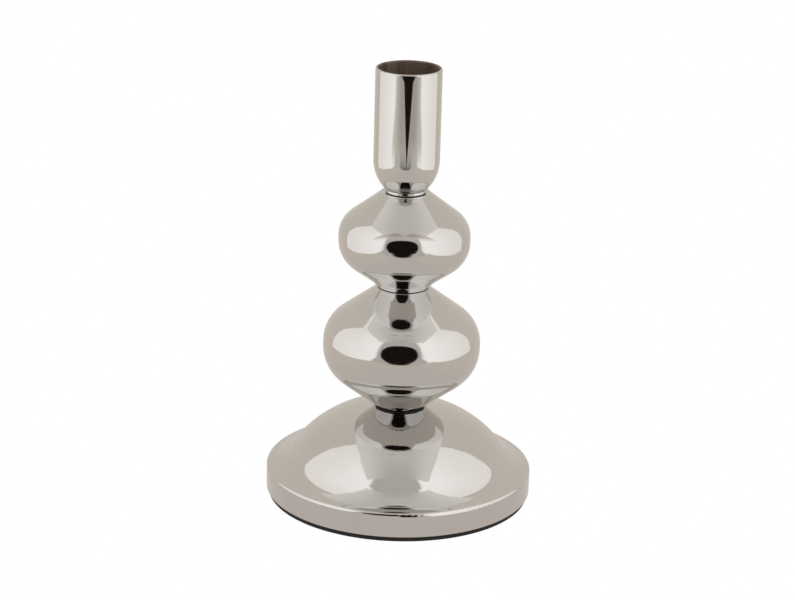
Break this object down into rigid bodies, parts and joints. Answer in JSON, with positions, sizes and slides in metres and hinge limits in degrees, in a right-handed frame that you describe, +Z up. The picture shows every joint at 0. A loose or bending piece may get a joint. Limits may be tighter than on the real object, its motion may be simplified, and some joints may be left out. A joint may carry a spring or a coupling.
{
  "type": "candlestick",
  "caption": "Low candlestick for a taper candle: domed round foot, a large and a smaller hollow bulb and a tall cup, mirror-plated, stacked on a hidden tie rod.",
  "frame": {"origin": "on the floor plane, at the centre of the round foot", "axes": "+Z up along the candle's axis; the object is round, so +X and +Y are free, with -Y towards the viewer of the picture"},
  "size_m": [0.1, 0.1, 0.1647],
  "materials": {
    "plating": "mirror-polished nickel plating on steel, slightly warm",
    "bush": "black moulded plastic",
    "pad": "black closed-cell foam rubber, matte",
    "cast_weight": "rough as-cast",
    "zinc_steel": "bright zinc plated"
  },
  "bodies": {
    "root": {"pad": "pad", "bottom_plate": "zinc_steel", "base_shell": "plating", "base_weight": "cast_weight", "lower_bush": "bush", "lower_bulb": "plating", "middle_bush": "bush", "upper_bulb": "plating", "upper_bush": "bush", "candle_cup": "plating", "tie_rod": "zinc_steel", "clamp_washer": "zinc_steel", "lock_washer": "zinc_steel", "clamp_nut": "zinc_steel"}
  },
  "joints": []
}
